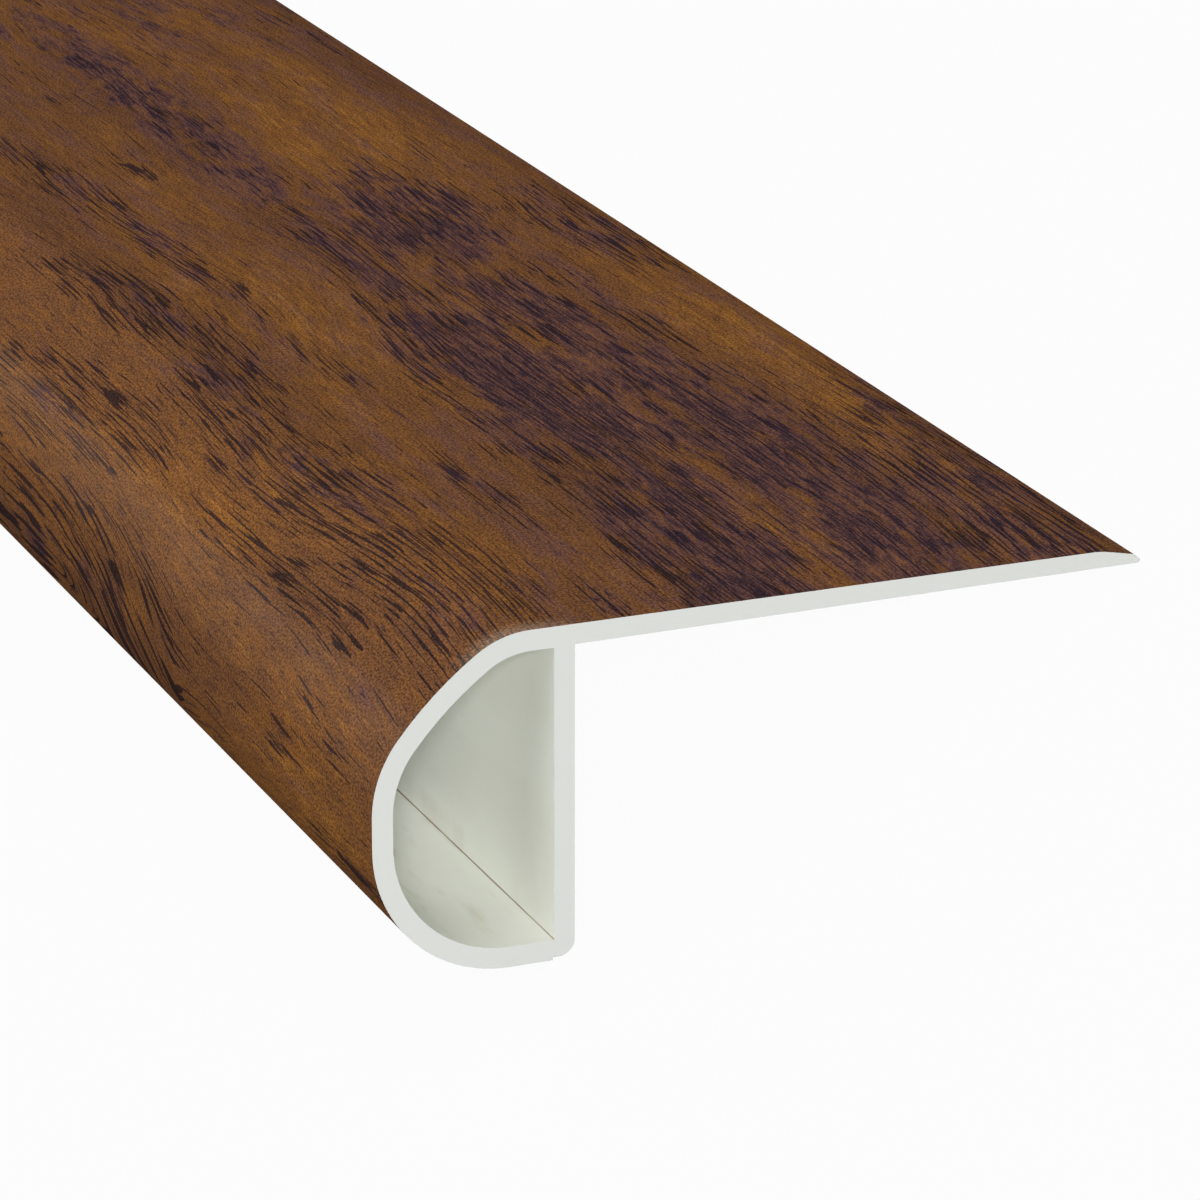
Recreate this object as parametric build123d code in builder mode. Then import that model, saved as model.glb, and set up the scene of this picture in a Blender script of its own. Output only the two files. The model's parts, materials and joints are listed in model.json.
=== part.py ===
from build123d import *
import os
from math import asin, atan2, cos, degrees, radians, sin, tan

# Low profile stair nosing: a hollow rigid vinyl extrusion whose decor side is wrapped in a printed
# wood-grain film. Lengths are in millimetres and angles in degrees.
# The section is drawn as it sits on a stair: u runs back from the rear face of the web to the tip of the
# flange, and v runs up, with 0 at the finished top. The stock itself lies loose on a level floor, on the
# rear corner of its nose and the tip of its flange: X is its length, -Y its nose and +Z is up. The origin
# is on the floor, under the middle of the stock.

# Stock
LENGTH = 3 * FT
WIDTH = 2.25 * IN

# Finished line of the nose, over the film, from the flange round to the underside
SHOULDER_START = 3.2
SHOULDER_RADIUS = 6.75
SHOULDER_TURN = 35.0
SLOPE_RADIUS = 27.0
SLOPE_TURN = 16.5
FRONT_RADIUS = 8.75
FRONT_FLAT = 2.25
UNDER_RADIUS = 9.9
REAR_CORNER_RADIUS = 1.2

# Walls; the two flange sizes are its finished thickness at the web and at the tip
FILM_THICKNESS = 0.2
NOSE_WALL = 1.3
WEB_WALL = 1.5
FLANGE_ROOT = 1.45
FLANGE_EDGE = 1.2

# Feathered tip of the flange, and how far short of a rounded edge the film is trimmed
TIP_RADIUS = 0.2
TIP_TAPER = 11.5
TAPER_EASE_RADIUS = 6.0
FILM_TRIM = 0.4


def toward(angle):
    """The unit vector at an angle from u towards v."""
    return Vector(cos(radians(angle)), sin(radians(angle)))


# The nose turns through a right angle from the flange to its front, and its depth and drop add up
FRONT_TURN = 90 - SHOULDER_TURN - SLOPE_TURN
NOSE_ARCS = (
    (SHOULDER_RADIUS, SHOULDER_TURN),
    (SLOPE_RADIUS, SLOPE_TURN),
    (FRONT_RADIUS, FRONT_TURN),
)
nose_depth = SHOULDER_START
nose_drop = FRONT_FLAT + UNDER_RADIUS
turned = 0
for arc_radius, arc_turn in NOSE_ARCS:
    chord = arc_radius * (toward(turned + arc_turn) - toward(turned))
    nose_depth += chord.Y
    nose_drop -= chord.X
    turned += arc_turn

# Centres of the roundings that the stock lies on, and of the arc under the nose
tip_centre = Vector(WIDTH - nose_depth - TIP_RADIUS, TIP_RADIUS - FLANGE_EDGE)
rear_centre = Vector(-REAR_CORNER_RADIUS, REAR_CORNER_RADIUS + FILM_THICKNESS - nose_drop)
under_centre = Vector(UNDER_RADIUS - nose_depth, UNDER_RADIUS - nose_drop)

# The flange's underside runs from the web to the tip's rounding, as a tangent
flange_root = Vector(0, -FLANGE_ROOT)
root_to_tip = tip_centre - flange_root
underside_slope = degrees(atan2(root_to_tip.Y, root_to_tip.X) - asin(TIP_RADIUS / root_to_tip.length))

# The floor is the common tangent under the rear corner and the tip
rear_to_tip = tip_centre - rear_centre
rest_tilt = degrees(
    atan2(rear_to_tip.Y, rear_to_tip.X)
    + asin((REAR_CORNER_RADIUS - TIP_RADIUS) / rear_to_tip.length)
)
floor_along = toward(rest_tilt)
floor_up = toward(rest_tilt + 90)
front_reach = under_centre.dot(floor_along) - UNDER_RADIUS
tip_reach = tip_centre.dot(floor_along) + TIP_RADIUS
floor_level = rear_centre.dot(floor_up) - REAR_CORNER_RADIUS
SECTION = Plane(
    origin=(-LENGTH / 2, -(front_reach + tip_reach) / 2, -floor_level),
    x_dir=(0, floor_along.X, -floor_along.Y),
    z_dir=(1, 0, 0),
)


def nose_line(inset):
    """Draws the nose, inset from its finished face, and returns where it ends on the underside."""
    end = Vector(-SHOULDER_START, -inset)
    heading = toward(180)
    for radius, turn in NOSE_ARCS:
        arc = JernArc(end, heading, radius - inset, turn)
        end = arc @ 1
        heading = arc % 1
    front = Line(end, end + FRONT_FLAT * heading)
    under = JernArc(front @ 1, heading, UNDER_RADIUS - inset, 90)
    return under @ 1


def decor_line(inset, trim):
    """Draws the decor side from the tip over the flange and round the nose, and returns its two ends."""
    rising = toward(180 - TIP_TAPER)
    tip_top = tip_centre + (TIP_RADIUS + FILM_THICKNESS - inset) * toward(90 - TIP_TAPER)
    start = tip_top + trim * rising
    ease_radius = TAPER_EASE_RADIUS - inset
    to_crest = (-inset - start.Y) / sin(radians(TIP_TAPER))
    taper = Line(start, start + (to_crest - ease_radius * tan(radians(TIP_TAPER / 2))) * rising)
    ease = JernArc(taper @ 1, rising, ease_radius, TIP_TAPER)
    Line(ease @ 1, (-SHOULDER_START, -inset))
    foot = Line(nose_line(inset), (-REAR_CORNER_RADIUS - trim, inset - nose_drop))
    return start, foot @ 1


with BuildPart() as extrusion:
    with BuildSketch(SECTION):
        with BuildLine():
            tip_top, nose_foot = decor_line(FILM_THICKNESS, 0)
            rear_corner = JernArc(nose_foot, toward(0), REAR_CORNER_RADIUS, 90)
            Line(rear_corner @ 1, flange_root)
            underside = Line(flange_root, tip_centre + TIP_RADIUS * toward(underside_slope - 90))
            JernArc(underside @ 1, underside % 1, TIP_RADIUS, 180 - TIP_TAPER - underside_slope)
        make_face()
        # The hollow follows the nose one wall in, and the web closes it at the back
        with BuildLine():
            hollow_inset = FILM_THICKNESS + NOSE_WALL
            hollow_foot = nose_line(hollow_inset)
            Polyline(
                hollow_foot,
                (-WEB_WALL, hollow_foot.Y),
                (-WEB_WALL, -hollow_inset),
                (-SHOULDER_START, -hollow_inset),
            )
        make_face(mode=Mode.SUBTRACT)
    extrude(amount=LENGTH)

with BuildPart() as film:
    with BuildSketch(SECTION):
        with BuildLine():
            outer_start, outer_end = decor_line(0, FILM_TRIM)
            inner_start, inner_end = decor_line(FILM_THICKNESS, FILM_TRIM)
            Line(outer_start, inner_start)
            Line(outer_end, inner_end)
        make_face()
    extrude(amount=LENGTH)

os.makedirs("parts", exist_ok=True)
extrusion.part.label = "vinyl_extrusion"
export_step(extrusion.part, "parts/vinyl_extrusion.step")
film.part.label = "woodgrain_film"
export_step(film.part, "parts/woodgrain_film.step")

print(f"nose depth {nose_depth:.2f}, drop {nose_drop:.2f}, flange reach {WIDTH - nose_depth:.2f}")
print(f"rest tilt {rest_tilt:.2f}, section origin {SECTION.origin}")
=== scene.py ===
# %% [markdown]
# # A low profile stair nosing
# The real thing is a length of hollow white vinyl, pushed hot through a die, with a thin film of
# printed wood wrapped over the side that shows. This lesson loads the engineering model, puts a camera
# where the photograph was taken, draws both pieces again with smooth curves, and then finishes them.

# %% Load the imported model
import json
from math import asin, atan2, ceil, cos, degrees, radians, sin, tan

import bpy
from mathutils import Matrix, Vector
from mathutils.geometry import intersect_plane_plane


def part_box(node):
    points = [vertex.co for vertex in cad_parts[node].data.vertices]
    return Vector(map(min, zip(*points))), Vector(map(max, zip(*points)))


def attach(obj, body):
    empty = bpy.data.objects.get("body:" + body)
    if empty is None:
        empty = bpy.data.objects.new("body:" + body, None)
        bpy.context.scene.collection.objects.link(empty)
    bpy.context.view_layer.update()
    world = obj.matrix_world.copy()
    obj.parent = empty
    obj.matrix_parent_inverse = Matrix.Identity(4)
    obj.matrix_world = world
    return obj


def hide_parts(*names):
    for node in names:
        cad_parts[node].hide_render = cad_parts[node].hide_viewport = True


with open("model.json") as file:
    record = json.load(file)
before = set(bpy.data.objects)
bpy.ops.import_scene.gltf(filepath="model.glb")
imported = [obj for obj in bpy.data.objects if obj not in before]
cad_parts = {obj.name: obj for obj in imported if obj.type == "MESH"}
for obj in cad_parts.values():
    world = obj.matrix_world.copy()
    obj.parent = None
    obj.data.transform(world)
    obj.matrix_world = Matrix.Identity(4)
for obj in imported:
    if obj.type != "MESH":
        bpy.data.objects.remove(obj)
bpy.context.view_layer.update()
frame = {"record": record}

# %% [markdown]
# ## The camera
# The photograph looks along the stock from its cut end, slightly from the nose side, through a long
# lens that stands close by. The stock lies tipped back on its flange here, as it does when nobody
# holds it, so the camera leans over by the same amount to see it upright. The lens, the place and the
# turn come from the directions in which the photograph's straight edges run together.

# %% Place the camera
CAMERA_PLACE = (0.78796, -0.06918, 0.19696)
CAMERA_TURN = (59.214, 25.309, 64.895)
CAMERA_LENS = 170.41

bpy.ops.object.select_all(action="DESELECT")
bpy.ops.object.camera_add(location=CAMERA_PLACE, rotation=[radians(angle) for angle in CAMERA_TURN])
camera = bpy.context.object
camera.data.lens = CAMERA_LENS
camera.data.clip_start = 0.01
bpy.context.scene.camera = camera
print("camera", tuple(camera.location), "lens", camera.data.lens)

# %% [markdown]
# ## The section
# Both pieces have one section all along, so everything is drawn once, on the plane of the cut end. On
# that plane, u runs back from the rear face of the web and v runs up from the finished top of the
# flange, as if the nosing sat on its stair. The two flat faces that are glued to the stair are mounts
# in the record: they meet in the corner under the flange, which fixes where the section lies.

# %% Sizes of the section and its place
MM = 0.001
SHOULDER_START = 3.2 * MM
SHOULDER_RADIUS = 6.75 * MM
SHOULDER_TURN = 35.0
SLOPE_RADIUS = 27.0 * MM
SLOPE_TURN = 16.5
FRONT_RADIUS = 8.75 * MM
FRONT_FLAT = 2.25 * MM
UNDER_RADIUS = 9.9 * MM
REAR_CORNER_RADIUS = 1.2 * MM
FILM_THICKNESS = 0.2 * MM
NOSE_WALL = 1.3 * MM
WEB_WALL = 1.5 * MM
FLANGE_ROOT = 1.45 * MM
FLANGE_EDGE = 1.2 * MM
TIP_RADIUS = 0.2 * MM
TIP_TAPER = 11.5
TAPER_EASE_RADIUS = 6.0 * MM
FILM_TRIM = 0.4 * MM
WIDTH = 57.15 * MM

mounts = {mount["name"]: mount for mount in frame["record"]["mounts"]}
web_face = mounts["web_rear_face"]
flange_face = mounts["flange_underside"]
LENGTHWISE = Vector((1, 0, 0))
BACK = Vector(web_face["axis"])
UP = LENGTHWISE.cross(BACK)
far_end, near_end = (corner.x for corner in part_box("vinyl_extrusion"))
LENGTH = near_end - far_end

root, _ = intersect_plane_plane(
    Vector(web_face["pos_m"]), BACK, Vector(flange_face["pos_m"]), Vector(flange_face["axis"])
)
section_origin = Vector((near_end, root.y, root.z)) + FLANGE_ROOT * UP


def toward(angle):
    """The unit vector (u, v) at an angle from u towards v, in degrees."""
    return Vector((cos(radians(angle)), sin(radians(angle))))


def across_section(step):
    """A step (u, v) on the section as a vector in space."""
    return step[0] * BACK + step[1] * UP


def on_section(point):
    """A point (u, v) of the section as a point in space, at the near end."""
    return section_origin + across_section(point)


print(f"length {LENGTH / MM:.1f} mm, section at", [round(part / MM, 3) for part in section_origin])

# %% [markdown]
# The nose turns through a right angle from the flange to its front in three arcs, and through another
# one under it. Adding the arcs up gives its depth and drop, and from those the tip's place.

# %% Depth and drop of the nose
FRONT_TURN = 90 - SHOULDER_TURN - SLOPE_TURN
NOSE_ARCS = (
    (SHOULDER_RADIUS, SHOULDER_TURN),
    (SLOPE_RADIUS, SLOPE_TURN),
    (FRONT_RADIUS, FRONT_TURN),
)
nose_depth = SHOULDER_START
nose_drop = FRONT_FLAT + UNDER_RADIUS
turned = 0
for radius, turn in NOSE_ARCS:
    chord = radius * (toward(turned + turn) - toward(turned))
    nose_depth += chord.y
    nose_drop -= chord.x
    turned += turn
tip_centre = Vector((WIDTH - nose_depth - TIP_RADIUS, TIP_RADIUS - FLANGE_EDGE))
print(f"nose {nose_depth / MM:.2f} mm deep and {nose_drop / MM:.2f} mm high")

# %% [markdown]
# ## A pen for sections
# A die maker draws such a section as straight lines and tangent arcs. The pen below does the same in
# edit mode: it starts as a plane merged to one point, a straight stroke extrudes that point, and a
# round stroke spins it. A curve object could hold the arcs too, but a spun edge has exactly the steps
# that are asked for, and it stays on the drawing.

# %% The pen
STEP_ANGLE = 3.0


def start_piece(name):
    """An empty mesh piece at the origin, open in edit mode."""
    bpy.ops.object.select_all(action="DESELECT")
    bpy.ops.mesh.primitive_plane_add(size=MM)
    piece = bpy.context.object
    piece.name = name
    piece.data.name = name
    bpy.ops.object.mode_set(mode="EDIT")
    bpy.ops.mesh.delete(type="VERT")
    return piece


class SectionPen:
    """A pen on the section: it keeps its place (u, v) and the angle in which it is heading."""

    def __init__(self, place, heading):
        self.place = Vector(place)
        self.heading = heading
        bpy.ops.mesh.select_all(action="DESELECT")
        bpy.ops.mesh.primitive_plane_add(size=MM, location=on_section(self.place))
        bpy.ops.mesh.merge(type="CENTER")

    def straight(self, length):
        step = length * toward(self.heading)
        bpy.ops.mesh.extrude_region_move(TRANSFORM_OT_translate={"value": across_section(step)})
        self.place += step

    def straight_to(self, place, steps=1):
        step = (Vector(place) - self.place) / steps
        for _ in range(steps):
            bpy.ops.mesh.extrude_region_move(TRANSFORM_OT_translate={"value": across_section(step)})
        self.place = Vector(place)

    def round(self, radius, turn):
        centre = self.place + radius * toward(self.heading + 90)
        steps = ceil(turn / STEP_ANGLE)
        bpy.ops.mesh.spin(steps=steps, angle=radians(turn), center=on_section(centre), axis=-LENGTHWISE)
        self.heading += turn
        self.place = centre + radius * toward(self.heading - 90)


def draw_nose(pen, inset):
    """The nose, inset from its finished face, from the shoulder to the underside."""
    for radius, turn in NOSE_ARCS:
        pen.round(radius - inset, turn)
    pen.straight(FRONT_FLAT)
    pen.round(UNDER_RADIUS - inset, 90)


def draw_decor(inset, trim, flat_steps=1):
    """The decor side from the tip over the flange and round the nose. Returns the pen at its end."""
    tip_top = tip_centre + (TIP_RADIUS + FILM_THICKNESS - inset) * toward(90 - TIP_TAPER)
    pen = SectionPen(tip_top + trim * toward(180 - TIP_TAPER), 180 - TIP_TAPER)
    ease_radius = TAPER_EASE_RADIUS - inset
    to_crest = (-inset - pen.place.y) / sin(radians(TIP_TAPER))
    pen.straight(to_crest - ease_radius * tan(radians(TIP_TAPER / 2)))
    pen.round(ease_radius, TIP_TAPER)
    pen.straight_to((-SHOULDER_START, -inset), flat_steps)
    draw_nose(pen, inset)
    pen.straight_to((-REAR_CORNER_RADIUS - trim, inset - nose_drop))
    return pen


print("steps in a right angle:", ceil(90 / STEP_ANGLE))

# %% [markdown]
# ## The film
# The film is one printed sheet, wrapped from the tip of the flange round the nose. Drawing its line
# and pulling that along the stock gives the sheet, and Solidify gives it its thickness on the inside.
# Before it is pulled, each point notes how far across the flat sheet it lies, so that the print can
# follow the curve later, as it does on the real film. Its cut rims are pale, as the film's body is.

# %% Draw the film's line and note how far across it each point lies
PRINT_SLOT, RIM_SLOT = 0, 1
FLAT_STEPS = 40
film = start_piece("wood_film")
draw_decor(0, FILM_TRIM, FLAT_STEPS)
bpy.ops.object.mode_set(mode="OBJECT")
across = film.data.attributes.new("across", "FLOAT", "POINT")
places = [vertex.co for vertex in film.data.vertices]
beside = {index: [] for index in range(len(places))}
for edge in film.data.edges:
    first, second = edge.vertices
    beside[first].append(second)
    beside[second].append(first)
here = max(beside, key=lambda index: places[index].dot(BACK))
walked = [here]
film_width = 0.0
while len(walked) < len(places):
    onward = next(index for index in beside[here] if index not in walked[-2:])
    film_width += (places[onward] - places[here]).length
    across.data[onward].value = film_width
    walked.append(onward)
    here = onward
print(f"film {film_width / MM:.1f} mm wide on {len(places)} points")

# %% [markdown]
# Near the cut end the sheet is pulled in short steps, because the print is painted on its points there
# later. The rest, which is plain, is one long step. Solidify marks the cut rims with a material of
# their own.

# %% Pull it along the stock and give it its thickness
PAINT_STEP = 2.0 * MM
PAINT_STEPS = 95
bpy.ops.object.mode_set(mode="EDIT")
bpy.ops.mesh.select_all(action="SELECT")
for pull in [PAINT_STEP] * PAINT_STEPS + [LENGTH - PAINT_STEPS * PAINT_STEP]:
    bpy.ops.mesh.extrude_region_move(TRANSFORM_OT_translate={"value": -pull * LENGTHWISE})
bpy.ops.mesh.select_all(action="SELECT")
bpy.ops.mesh.normals_make_consistent(inside=False)
bpy.ops.object.mode_set(mode="OBJECT")
top_face = max(film.data.polygons, key=lambda face: face.center.dot(UP))
if top_face.normal.dot(UP) < 0:
    bpy.ops.object.mode_set(mode="EDIT")
    bpy.ops.mesh.flip_normals()
    bpy.ops.object.mode_set(mode="OBJECT")

for slot in (PRINT_SLOT, RIM_SLOT):
    film.data.materials.append(None)
thicken = film.modifiers.new("thickness", "SOLIDIFY")
thicken.thickness = FILM_THICKNESS
thicken.offset = -1
thicken.use_even_offset = True
thicken.material_offset_rim = RIM_SLOT
bpy.ops.object.modifier_apply(modifier=thicken.name)
bpy.ops.object.shade_smooth_by_angle(angle=radians(30))
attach(film, "root")
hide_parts("woodgrain_film")
print(f"film {len(film.data.polygons)} faces on {len(film.data.vertices)} points")

# %% [markdown]
# ## The extrusion
# The vinyl has an outside line and a hollow in its nose. Both are drawn with the pen, filled as one
# cut face, and pulled along the stock. Cutting the hollow out of a solid with a Boolean would give the
# same shape, but the fill keeps the wall's two edges in step with each other.

# %% Draw the vinyl's outline and its hollow
vinyl = start_piece("vinyl_body")
flange_root = Vector((0, -FLANGE_ROOT))
root_to_tip = tip_centre - flange_root
underside_slope = degrees(atan2(root_to_tip.y, root_to_tip.x) - asin(TIP_RADIUS / root_to_tip.length))
pen = draw_decor(FILM_THICKNESS, 0)
pen.round(REAR_CORNER_RADIUS, 90)
pen.straight_to(flange_root)
pen.straight_to(tip_centre + TIP_RADIUS * toward(underside_slope - 90))
pen.heading = underside_slope
pen.round(TIP_RADIUS, 180 - TIP_TAPER - underside_slope)

hollow_inset = FILM_THICKNESS + NOSE_WALL
hollow_start = Vector((-SHOULDER_START, -hollow_inset))
pen = SectionPen(hollow_start, 180)
draw_nose(pen, hollow_inset)
pen.straight_to((-WEB_WALL, pen.place.y))
pen.straight_to((-WEB_WALL, -hollow_inset))
pen.straight_to(hollow_start)
print(f"underside slope {underside_slope:.2f} degrees")

# %% [markdown]
# The line closes on itself where its ends are merged. Fill then covers what lies between the outside
# and the hollow, and one pull gives the whole length, as nothing changes along it.

# %% Fill the cut face and pull it along the stock
bpy.ops.mesh.select_all(action="SELECT")
bpy.ops.mesh.remove_doubles(threshold=0.001 * MM)
bpy.ops.mesh.select_all(action="SELECT")
bpy.ops.mesh.fill(use_beauty=True)
bpy.ops.mesh.select_all(action="SELECT")
bpy.ops.mesh.extrude_region_move(TRANSFORM_OT_translate={"value": -LENGTH * LENGTHWISE})
bpy.ops.mesh.select_all(action="SELECT")
bpy.ops.mesh.normals_make_consistent(inside=False)
bpy.ops.object.mode_set(mode="OBJECT")
bpy.ops.object.shade_smooth_by_angle(angle=radians(30))
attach(vinyl, "root")
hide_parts("vinyl_extrusion")
print(f"vinyl {len(vinyl.data.polygons)} faces")

# %% [markdown]
# ## Shader sums
# Both finishes are patterns that come from a few distances, such as how far along the stock a point
# lies. Adding every Math node by name would hide that, so the small class below wraps an output
# socket: a sum of two of them adds the node that works it out, and a pattern reads as a formula.

# %% A class for shader signals
class Signal:
    """An output socket of a shader tree, which can be added, multiplied and compared."""

    def __init__(self, socket):
        self.socket = socket
        self.tree = socket.id_data

    @classmethod
    def node(cls, tree, kind, settings=None, sockets=None, output=0):
        """One output of a new node, with its settings made first and its sockets filled or linked."""
        node = tree.nodes.new(kind)
        for name, value in (settings or {}).items():
            if name == "stops":
                set_stops(node.color_ramp, value)
            else:
                setattr(node, name, value)
        for name, value in (sockets or {}).items():
            if isinstance(value, Signal):
                tree.links.new(value.socket, node.inputs[name])
            else:
                node.inputs[name].default_value = value
        return cls(node.outputs[output])

    def maths(self, operation, *terms):
        return self.node(self.tree, "ShaderNodeMath", {"operation": operation}, dict(enumerate(terms)))

    def __add__(self, other):
        return self.maths("ADD", self, other)

    def __sub__(self, other):
        return self.maths("SUBTRACT", self, other)

    def __rsub__(self, other):
        return self.maths("SUBTRACT", other, self)

    def __mul__(self, other):
        return self.maths("MULTIPLY", self, other)

    def __truediv__(self, other):
        return self.maths("DIVIDE", self, other)

    def __rtruediv__(self, other):
        return self.maths("DIVIDE", other, self)

    def __pow__(self, power):
        return self.maths("POWER", self, power)

    def __abs__(self):
        return self.maths("ABSOLUTE", self)

    __radd__ = __add__
    __rmul__ = __mul__

    def larger(self, other):
        return self.maths("MAXIMUM", self, other)

    def smaller(self, other):
        return self.maths("MINIMUM", self, other)

    def step(self, start, end):
        """0 before start and 1 after end, smooth between them. The end may be the lower one."""
        sockets = {"Value": self, "From Min": start, "From Max": end}
        return self.node(self.tree, "ShaderNodeMapRange", {"interpolation_type": "SMOOTHSTEP"}, sockets)


def set_stops(ramp, stops):
    """Give a colour ramp its stops, each a place and a colour."""
    while len(ramp.elements) < len(stops):
        ramp.elements.new(1.0)
    for element, (place, colour) in zip(ramp.elements, stops):
        element.position = place
        element.color = colour


print("signals can be summed, multiplied and compared")

# %% [markdown]
# Colours go through Mix nodes, because a Math node would turn them grey. They are written as they look
# on a screen, from 0 to 255, and turned into the linear values that a shader works in.

# %% Helpers for colours, distances and finishes
def on_screen(red, green, blue):
    """A colour as it looks on a screen, as linear values."""
    parts = [part / 255 for part in (red, green, blue)]
    parts = [part / 12.92 if part <= 0.04045 else ((part + 0.055) / 1.055) ** 2.4 for part in parts]
    return (*parts, 1.0)


def mixed(amount, first, second):
    """One colour going over to another."""
    sockets = {0: amount, 6: first, 7: second}
    return Signal.node(amount.tree, "ShaderNodeMix", {"data_type": "RGBA"}, sockets, 2)


def tinted(colour, amount, first, second):
    """A colour multiplied by a tint that goes from one to another."""
    tint = mixed(amount, first, second)
    settings = {"data_type": "RGBA", "blend_type": "MULTIPLY"}
    return Signal.node(amount.tree, "ShaderNodeMix", settings, {0: 1.0, 6: colour, 7: tint}, 2)


def measured(place, direction, start):
    """How far a place lies from a start in a direction, in millimetres."""
    kind = "ShaderNodeVectorMath"
    moved = Signal.node(place.tree, kind, {"operation": "SUBTRACT"}, {0: place, 1: start})
    settings = {"operation": "DOT_PRODUCT"}
    return Signal.node(place.tree, kind, settings, {0: moved, 1: direction}, "Value") / MM


def grain(along, across, length, width, seed, detail=1.0, roughness=0.5):
    """Noise about 0, in drawn-out specks of about that length and width in millimetres."""
    places = {0: along / length + seed, 1: across / width - seed}
    flat = Signal.node(along.tree, "ShaderNodeCombineXYZ", None, places)
    sockets = {"Vector": flat, "Scale": 1.0, "Detail": detail, "Roughness": roughness}
    return Signal.node(along.tree, "ShaderNodeTexNoise", {"noise_dimensions": "2D"}, sockets) - 0.5


def new_finish(name):
    """A material, its Principled shader, and the places of its surface in space."""
    material = bpy.data.materials.new(name)
    material.use_nodes = True
    tree = material.node_tree
    place = Signal.node(tree, "ShaderNodeTexCoord", None, None, "Object")
    return material, tree.nodes["Principled BSDF"], place


def feed(shader, name, signal):
    """Link a signal to a socket of a shader."""
    signal.tree.links.new(signal.socket, shader.inputs[name])


def bumped(height, depth, strength):
    """A normal from a height between -0.5 and 0.5, where the whole range is that deep."""
    sockets = {"Height": height, "Distance": depth, "Strength": strength}
    return Signal.node(height.tree, "ShaderNodeBump", None, sockets)


print("a mid brown in linear values:", [round(part, 3) for part in on_screen(101, 67, 44)])

# %% [markdown]
# ## The wood print
# The film is printed with a dark, oiled hardwood: amber and brown in slow clouds, plum hazes, and
# bundles of short blue-black pores that run along the grain. One tone from dark to light carries all
# of that, and a ramp of the print's inks turns it into colour. Noise alone would give the character,
# but not this board, so the larger dark drifts at the cut end are put where they lie in the
# photograph. Each has a place along and across the flat film, a half length, a half width, a lean, and
# two strengths: one for its haze and one for its pores. The glows are lighter places in the same form,
# with one strength: most are amber parts of the print, and the two along the shoulder are a painted
# sheen.

# %% Where the dark drifts and the glows lie
DRIFTS = (
    (10, 5.0, 22, 3.2, -5, 0.6, 1.5),
    (36, 2.2, 11, 2.0, -8, 0.6, 1.3),
    (20, 9.5, 28, 2.4, -3, 0.0, 0.8),
    (62, 10.8, 22, 2.2, 2, 0.1, 0.8),
    (90, 3.5, 13, 3.6, 6, 0.3, 1.1),
    (9, 15.5, 18, 5.0, -6, 0.9, 0.7),
    (33, 15.5, 16, 4.8, -4, 0.95, 0.95),
    (52, 17.0, 12, 4.5, 0, 0.8, 0.6),
    (70, 17.5, 14, 4.0, 4, 0.8, 1.05),
    (100, 16.0, 15, 6.0, -8, 0.8, 1.0),
    (6, 27.5, 14, 4.6, -14, 0.9, 1.2),
    (23, 25.0, 10, 3.6, -12, 0.8, 1.0),
    (52, 25.0, 22, 3.8, 1, 1.0, 1.3),
    (86, 25.0, 18, 3.0, 2, 0.5, 1.0),
    (17, 31.5, 20, 1.6, -9, 0.5, 1.2),
    (42, 31.5, 13, 1.8, 3, 0.3, 1.0),
    (61, 30.5, 20, 1.3, -8, 0.3, 1.1),
    (140, 24.5, 40, 3.0, 0, 0.8, 0.6),
    (29, 37.5, 8, 1.2, 2, 0.4, 1.2),
    (64, 37.3, 11, 1.2, 4, 0.2, 1.0),
    (98, 38.3, 15, 1.4, 3, 0.5, 1.5),
    (120, 40.0, 14, 1.9, 5, 0.3, 1.4),
    (10, 47.0, 15, 4.2, -1, 0.2, 1.3),
    (36, 47.3, 15, 3.2, 4, 0.5, 1.4),
    (58, 46.2, 16, 2.6, -10, 0.4, 1.5),
    (82, 45.0, 14, 2.8, 8, 0.4, 1.4),
    (27, 54.4, 17, 1.6, 2, 0.1, 1.1),
    (75, 55.3, 13, 2.6, 4, 0.3, 1.6),
    (66, 67.5, 20, 5.5, 4, 0.4, 1.5),
    (18.7, 63.8, 2.0, 0.9, 0, 0.7, 2.2),
    (3.5, 38.4, 2.2, 0.6, 3, 0.6, 2.1),
    (5, 68.8, 5.0, 0.6, -5, 0.4, 2.2),
    (123, 33.0, 3.0, 0.6, 9, 0.2, 2.2),
)
GLOWS_AND_SHEEN = (
    (40, 5.0, 14, 2.6, -4, 0.9),
    (66, 6.0, 18, 3.0, 2, 0.9),
    (128, 12.0, 28, 7.0, 0, 0.8),
    (125, 32.0, 30, 4.0, 0, 0.6),
    (60, 34.5, 40, 3.0, 2, 0.5),
    (75, 40.0, 30, 2.0, 2, 0.6),
    # A painted sheen along the shoulder.
    (45, 55.0, 30, 3.5, 0, 0.5),
    (14, 65.0, 18, 5.0, 0, 0.4),
    # A painted sheen along the shoulder.
    (25, 59.0, 30, 2.5, 0, 0.6),
)
print(len(DRIFTS), "drifts and", len(GLOWS_AND_SHEEN), "glows")

# %% [markdown]
# In the shader, thirty drifts would slow down every ray that meets the film. They are slow hills, so
# they are painted on the film's points instead, as weights are painted by hand: every point keeps the
# height of the highest hill there. The shader then adds ragged edges to them.

# %% Paint the drifts on the film's points
BARE = -0.6
FALL = 0.5


def hill(along, across, drift):
    """How far a drift has fallen away at a place, from 0 in its middle."""
    drift_along, drift_across, length, width, lean = drift[:5]
    offset = Vector((along - drift_along, across - drift_across))
    ahead = offset.dot(toward(lean)) / length
    beside = offset.dot(toward(lean + 90)) / width
    return FALL * (ahead * ahead + beside * beside)


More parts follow.
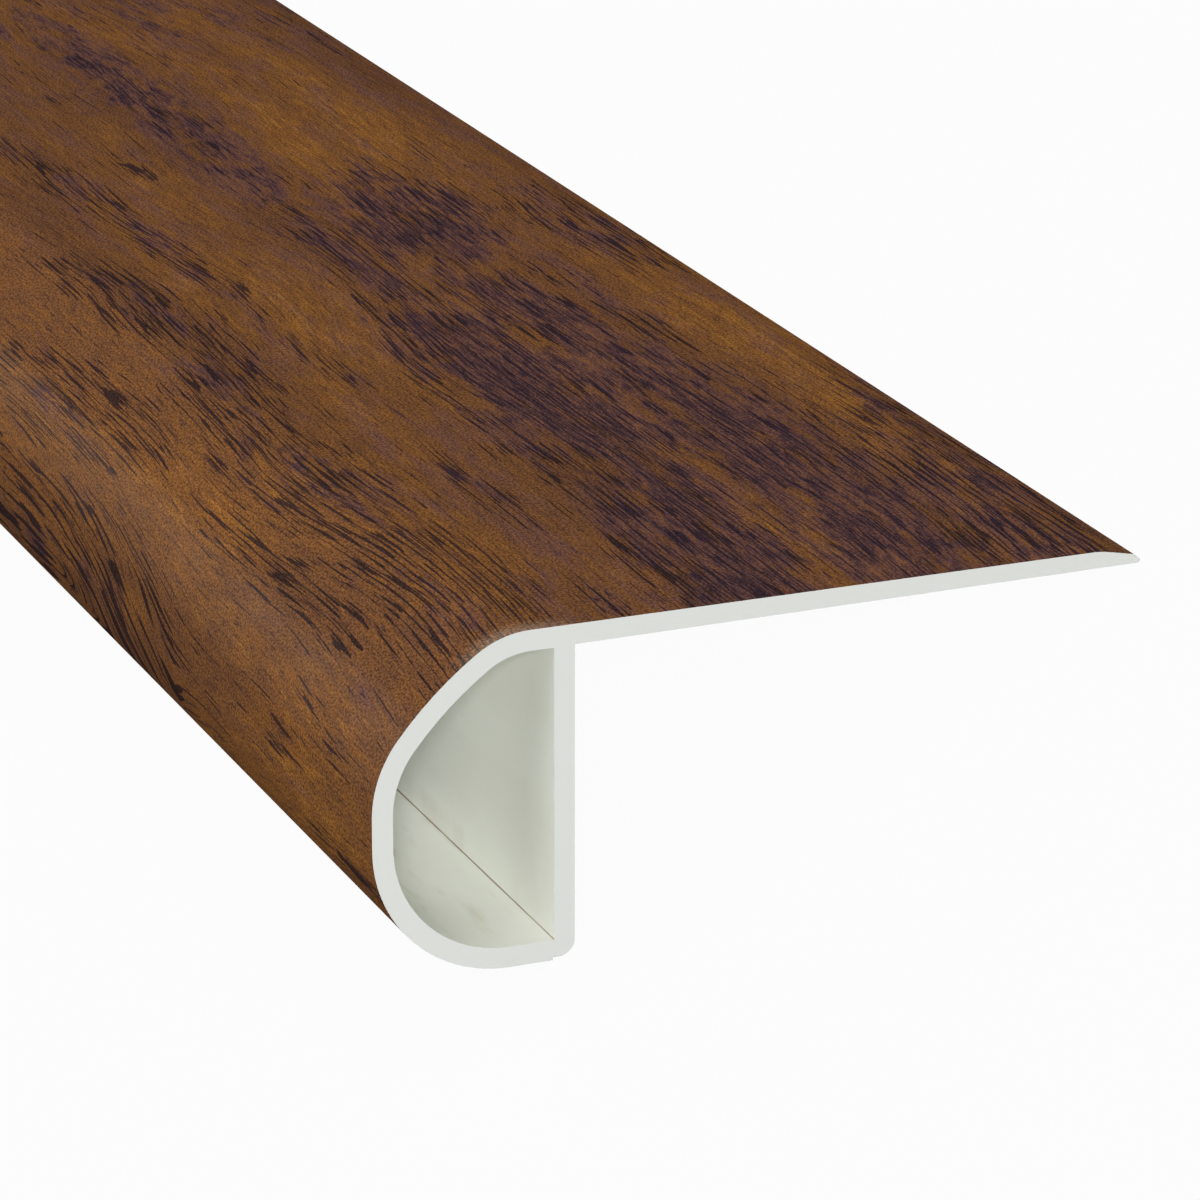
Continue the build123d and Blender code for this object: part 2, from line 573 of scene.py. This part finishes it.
def paint(name, hills, bare):
    """Give every point of the film the height of the highest hill there."""
    layer = film.data.attributes.new(name, "FLOAT", "POINT")
    for vertex, width in zip(film.data.vertices, film.data.attributes["across"].data):
        along, across = (near_end - vertex.co.x) / MM, width.value / MM
        heights = [row[-1] - hill(along, across, row) for row in hills]
        layer.data[vertex.index].value = max(bare, *heights)


paint("haze", [drift[:6] for drift in DRIFTS], BARE)
paint("pores", [drift[:5] + drift[6:] for drift in DRIFTS], BARE)
# The glows hold amber parts of the print and a painted sheen along the shoulder.
paint("glow", GLOWS_AND_SHEEN, 0.0)
print("painted", len(film.data.vertices), "points")

# %% [markdown]
# The grain wanders a little, and on the nose it runs round a knot: in nested arches before it, with a
# long tail behind it. Both bend only the distance across. Outside the knot the grain parts as water
# does round a stone, and inside it the distance across becomes the distance from the knot's middle, so
# every streak and pore that is drawn with it follows a ring.

# %% The run of the grain
KNOT = (72.0, 67.7)
KNOT_BLUNT = 0.29
KNOT_TAIL = 0.06
KNOT_SIZE = 8.5
RING_STRETCH = 0.5


def grain_line(along, across):
    """The distance across, bent as the grain runs."""
    wander = grain(along, across, 75, 30, 3.1) * 6 + grain(along, across, 22, 9, 7.7) * 1.1
    before = along - KNOT[0]
    ahead = before.smaller(0.0) * KNOT_BLUNT + before.larger(0.0) * KNOT_TAIL
    beside = across - KNOT[1]
    squared = ahead * ahead + beside * beside
    parted = beside * KNOT_SIZE**2 / squared.larger(KNOT_SIZE**2)
    rings = (KNOT_SIZE - squared**0.5).larger(0.0) * RING_STRETCH
    return across + wander - parted + rings


print("knot at", KNOT, "mm along and across")

# %% [markdown]
# A printed wood is laid down in layers of ink, and its tone is built up here in the same way. Hazes
# and pores come first. Near the cut end they lie where they were painted, and beyond it, where the
# photograph shows nothing, slow noise places them. Finer noise makes their edges ragged.

# %% Hazes and pores
def painted(tree, name):
    """An attribute that is painted on the piece's points."""
    return Signal.node(tree, "ShaderNodeAttribute", {"attribute_name": name}, None, "Fac")


def dark_parts(along, line, ragged, specks):
    """How much haze lies at a place, and how closely its pores stand."""
    photographed = along.step(190, 130)
    more_haze = grain(along, line, 34, 7.5, 1.3) * 3.2 + 0.3 - photographed * 1.5
    more_pores = grain(along, line, 24, 4.5, 9.2) * 3.2 + 0.2 - photographed * 0.75
    haze = painted(along.tree, "haze").larger(more_haze) + ragged * 2.6 + specks * 0.6
    pores = painted(along.tree, "pores").larger(more_pores) + ragged * 1.6
    return haze.step(0.0, 0.95), pores.larger(0.0)


print("layers drawn: hazes and pores")

# %% [markdown]
# Pores are dashes of ink where drawn-out noise stands above a threshold. Where pores stand closely
# that threshold is lower, so dashes crowd together in the middle of a drift and thin out towards its
# edges, which soft blobs of dark colour would not do. Longer hairs, short flecks in the hazes, fine
# streaks and slow clouds complete the tone.

# %% The tone of the print
def print_tone(along, line, specks, haze, pores, glow):
    """The print from dark, at 0, to light, at 1."""
    crowd = pores.smaller(0.78)
    dashes = (grain(along, line, 7.0, 0.26, 5.5) + crowd * 0.25 + specks * 0.04).step(0.27, 0.295)
    hairs = (grain(along, line, 14.0, 0.21, 71.0) + crowd * 0.15).step(0.245, 0.28)
    knots = pores.step(1.75, 1.95)
    flecks = (grain(along, line, 2.0, 0.22, 15.5) + haze * 0.18).step(0.17, 0.23)
    streaks = grain(along, line, 5, 0.5, 41.0, 2.0, 0.65)
    clouds = grain(along, line, 50, 9.0, 11.9, 2.0, 0.55)
    ink = dashes.larger(hairs).larger(knots) * (0.66 + streaks * 0.5)
    ground = 0.69 + clouds * 0.45 + glow - haze * 0.15 + streaks * (0.52 + haze * 0.45)
    return ground - ink.larger(flecks * 0.28)


print("layers drawn: dashes, hairs, knots, flecks, streaks and clouds")

# %% [markdown]
# A ramp of inks turns the tone into colour. Amber parts get a warmer tint and hazes a cooler one, and
# the nose gets a warmer tint as painted shade. The film's embossed skin has fine specks as its bumps,
# and on them the colour is painted lighter and darker, as glints and shade. The film is dull, but
# down the slope of the nose it was stretched and is a little polished: a thin coat there catches the
# light. Where the shoulder meets the cut end, a pale sheen is painted into the print.

# %% The printed side of the film
INKS = (
    (0.00, on_screen(49, 36, 39)),
    (0.16, on_screen(63, 45, 45)),
    (0.36, on_screen(81, 56, 50)),
    (0.52, on_screen(93, 63, 52)),
    (0.64, on_screen(102, 69, 52)),
    (0.78, on_screen(115, 77, 50)),
    (1.00, on_screen(143, 98, 53)),
)
COOL_TINT, WARM_TINT = (0.98, 0.98, 1.12, 1), (1.05, 1.0, 0.70, 1)
# Painted glints and shade on the embossed specks.
PAINTED_SHADE_SPECK, PAINTED_GLINT_SPECK = (0.55, 0.48, 0.36, 1), (1.45, 1.56, 1.80, 1)
POLISH_MIDDLE, POLISH_REACH = 58.4, 3.6
# The nose's warmer tint is painted shade.
NOSE_EDGE, NOSE_SHADE_WARMTH = (38, 50), 0.16
# A pale sheen painted on the shoulder beside the cut end.
PAINTED_END_SHEEN = on_screen(176, 156, 136)
PAINTED_SHEEN_MIDDLE, PAINTED_SHEEN_REACH, PAINTED_SHEEN_DEPTH, PAINTED_SHEEN_SHARE = 46.5, 5.0, 2.2, 0.3


def wood_print():
    """The film's printed side."""
    material, shader, place = new_finish("wood_print")
    along = measured(place, -LENGTHWISE, section_origin)
    across = painted(place.tree, "across") / MM
    line = grain_line(along, across)
    ragged = grain(along, line, 6.5, 1.7, 31.0, 3.0, 0.65)
    specks = grain(along, across, 0.28, 0.17, 23.0, 1.0, 0.75)
    haze, pores = dark_parts(along, line, ragged, specks)
    # Amber glows of the print, and a painted sheen along the shoulder.
    glow = painted(place.tree, "glow") * (0.16 + ragged * 0.3)
    tone = print_tone(along, line, specks, haze, pores, glow)
    warmth = grain(along, line, 12, 2.4, 61.0, 3.0, 0.65) - haze * 0.22 + glow * 0.5
    # Painted shade: the nose gets a warmer tint.
    warmth = warmth + across.step(*NOSE_EDGE) * NOSE_SHADE_WARMTH
    bend = (across - POLISH_MIDDLE) / POLISH_REACH
    # A pale sheen painted on the shoulder beside the cut end.
    sheen_offset = (across - PAINTED_SHEEN_MIDDLE) / PAINTED_SHEEN_REACH
    painted_sheen = (1 - sheen_offset * sheen_offset).larger(0.0) * along.step(PAINTED_SHEEN_DEPTH, 0.0)

    colour = Signal.node(place.tree, "ShaderNodeValToRGB", {"stops": INKS}, {0: tone})
    colour = tinted(colour, warmth.step(-0.21, 0.11), COOL_TINT, WARM_TINT)
    colour = mixed(painted_sheen * PAINTED_SHEEN_SHARE, colour, PAINTED_END_SHEEN)
    # The specks' colour is painted glints and shade.
    feed(shader, "Base Color", tinted(colour, specks.step(-0.3, 0.3), PAINTED_SHADE_SPECK, PAINTED_GLINT_SPECK))
    feed(shader, "Roughness", 0.6 + specks * 0.12)
    feed(shader, "Normal", bumped(specks, 0.03 * MM, 0.3))
    feed(shader, "Coat Weight", (1 - bend * bend).larger(0.0) * (0.10 + ragged * 0.15))
    shader.inputs["Coat Roughness"].default_value = 0.42
    shader.inputs["Specular IOR Level"].default_value = 0.0
    return material


film.data.materials[PRINT_SLOT] = wood_print()
print("print", len(film.data.materials[PRINT_SLOT].node_tree.nodes), "nodes")

# %% [markdown]
# ## The vinyl
# The body is plain white vinyl. Drawn through the die it has faint lines along its length. The saw
# leaves fine, slanting marks on the cut ends, and the cut ends are painted greyer, as shade. The skin
# turns a little greyer towards each cut end. Inside the hollow, blurred reflections are painted as
# soft smudges, and a thin brown line runs along the corner between the web and the bottom. All of it
# is found from the place in the section, so one finish serves every side.

# %% White vinyl
VINYL = on_screen(246, 248, 240)
VINYL_SHADE = on_screen(240, 242, 233)
END_GREY = on_screen(216, 218, 207)
END_GREY_DEPTH, END_GREY_SHARE = 14, 0.55
# The cut ends' grey is painted shade.
CUT_PAINTED_SHADE = on_screen(198, 200, 196)
# Blurred reflections, painted as smudges in the hollow.
PAINTED_REFLECTION = on_screen(222, 220, 208)
CORNER_BROWN = on_screen(148, 122, 98)
CORNER_BROWN_WIDTH = 0.1


def white_vinyl():
    """The vinyl of the body."""
    material, shader, place = new_finish("white_vinyl")
    along = measured(place, -LENGTHWISE, section_origin)
    back = measured(place, BACK, section_origin)
    up = measured(place, UP, section_origin)
    half_length = LENGTH / MM / 2

    die_lines = grain(along, back + up * 1.7, 260, 0.5, 2.2, 2.0)
    clouds = grain(along, back - up, 14, 7, 6.1, 3.0)
    depth_in = half_length - abs(along - half_length)
    end = depth_in.step(0.02, 0.01)
    saw_marks = grain(back * 0.8 + up * 0.6, back * 0.6 - up * 0.8, 9, 0.22, 8.4, 2.0) * end
    colour = mixed((clouds + die_lines * 0.2).step(-0.25, 0.25), VINYL_SHADE, VINYL)
    colour = mixed(depth_in.step(END_GREY_DEPTH, 0) * END_GREY_SHARE, colour, END_GREY)
    # Painted shade: the cut ends are greyer.
    colour = mixed(end, colour, CUT_PAINTED_SHADE)

    corner_back = back + WEB_WALL / MM
    corner_up = up + (nose_drop - hollow_inset) / MM
    corner = (corner_back * corner_back + corner_up * corner_up) ** 0.5
    # Blurred reflections painted as smudges low in the hollow.
    painted_reflections = grain(along, back, 11, 2.5, 12.2, 3.0, 0.6).step(0.0, 0.3) * corner_up.step(2.5, 1.0)
    colour = mixed(painted_reflections * (1 - end), colour, PAINTED_REFLECTION)
    corner_brown = (corner + grain(along, back, 4, 4, 3.3) * 0.06).step(CORNER_BROWN_WIDTH, CORNER_BROWN_WIDTH / 3) * (1 - end)
    colour = mixed(corner_brown * 0.8, colour, CORNER_BROWN)
    feed(shader, "Base Color", colour)
    feed(shader, "Roughness", 0.45 + clouds * 0.15)
    feed(shader, "Normal", bumped(die_lines * (1 - end) * 0.3 + saw_marks * 0.6, 0.02 * MM, 0.25))
    shader.inputs["Specular IOR Level"].default_value = 0.35
    return material


vinyl_finish = white_vinyl()
vinyl.data.materials.append(vinyl_finish)
film.data.materials[RIM_SLOT] = vinyl_finish
print("vinyl", len(vinyl_finish.node_tree.nodes), "nodes")

# %% [markdown]
# ## Floor and light
# The stock lies on a pale floor under large soft lamps, so there are no hard shadows. To the camera,
# and to anything glossy, the floor shows as white paper, but to the light it is a plain grey: white
# paper would throw light up under the nose. A small part of its grey is left in, so that it keeps the
# stock's shadow.

# %% The floor
FLOOR_COLOUR = (0.4, 0.4, 0.4, 1)
FLOOR_PAPER = 0.96


def shown(tree):
    """1 for what the camera sees, directly, in gloss or through glass."""
    kinds = ("Is Camera Ray", "Is Glossy Ray", "Is Transmission Ray")
    rays = [Signal.node(tree, "ShaderNodeLightPath", None, None, kind) for kind in kinds]
    return (rays[0] + rays[1] + rays[2]).smaller(1.0)


bpy.ops.object.select_all(action="DESELECT")
bpy.ops.mesh.primitive_plane_add(size=40)
floor = bpy.context.object
floor.name = "floor"
floor_finish, floor_shader, floor_place = new_finish("floor")
floor_tree = floor_place.tree
floor_shader.inputs["Base Color"].default_value = FLOOR_COLOUR
floor_shader.inputs["Roughness"].default_value = 0.9
floor_shader.inputs["Specular IOR Level"].default_value = 0.0
paper = Signal.node(floor_tree, "ShaderNodeEmission", None, {"Color": (1, 1, 1, 1), "Strength": 1.0})
lit = Signal(floor_shader.outputs[0])
layers = {0: shown(floor_tree) * FLOOR_PAPER, 1: lit, 2: paper}
surface = Signal.node(floor_tree, "ShaderNodeMixShader", None, layers)
floor_tree.links.new(surface.socket, floor_tree.nodes["Material Output"].inputs["Surface"])
floor.data.materials.append(floor_finish)
print("floor", floor.dimensions.x, "m wide")

# %% [markdown]
# The world is white to the camera too, and gives only a little light of its own. The lamps do the
# rest: a wide one overhead for the flange, a small one beside the camera that reaches into the hollow,
# one at the side for the nose, and a weak one behind, which the polished shoulder mirrors as a soft,
# pale band.

# %% The world and the lamps
WORLD_LEVEL = 0.1
LAMPS = (
    ("overhead", (0.45, 0.10, 1.6), 1.4, 15.5),
    ("front", (2.58, -0.32, 1.09), 0.35, 56.0),
    ("side", (0.75, -1.5, 0.9), 1.0, 6.0),
    ("back", (-1.34, -0.34, 0.96), 0.6, 5.0),
)
TARGET = Vector((near_end - 0.06, 0.0, 0.02))

world = bpy.data.worlds.new("studio")
world.use_nodes = True
sky = world.node_tree.nodes["Background"]
sky.inputs["Color"].default_value = (1, 1, 1, 1)
feed(sky, "Strength", WORLD_LEVEL + shown(world.node_tree) * (1 - WORLD_LEVEL))
bpy.context.scene.world = world
for name, place, size, power in LAMPS:
    turn = (TARGET - Vector(place)).to_track_quat("-Z", "Y").to_euler()
    bpy.ops.object.light_add(type="AREA", radius=size, location=place, rotation=turn)
    lamp = bpy.context.object
    lamp.name = name
    lamp.data.energy = power
bpy.context.scene.view_settings.view_transform = "Standard"
print(len(LAMPS), "lamps, world at", WORLD_LEVEL)
